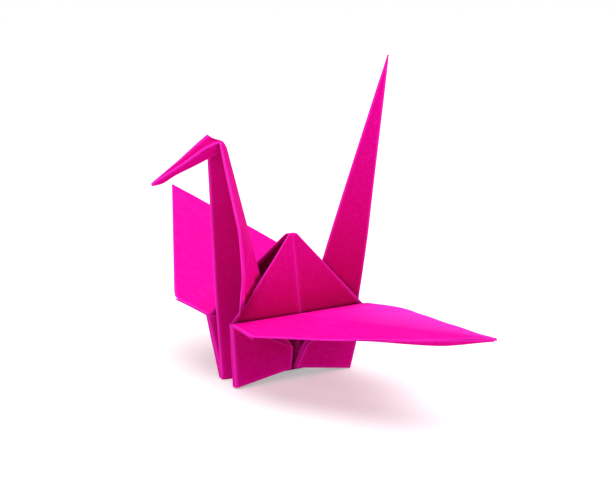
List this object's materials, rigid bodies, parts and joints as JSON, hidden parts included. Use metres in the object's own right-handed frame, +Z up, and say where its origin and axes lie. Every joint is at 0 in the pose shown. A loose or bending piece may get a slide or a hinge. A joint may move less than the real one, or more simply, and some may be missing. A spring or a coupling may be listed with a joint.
{
  "type": "origami crane",
  "caption": "Crane folded from one square of paper, with a long neck and tail, a pointed head, two spread wings and a raised hollow back.",
  "frame": {"origin": "on the ground under the middle of the crane's box in plan", "axes": "+Z up, head towards -X, tail towards +X, wings along -Y and +Y"},
  "size_m": [0.0618, 0.1296, 0.0723],
  "materials": {
    "paper": "matt dyed paper"
  },
  "bodies": {
    "root": {"folded_sheet": "paper"}
  },
  "joints": []
}
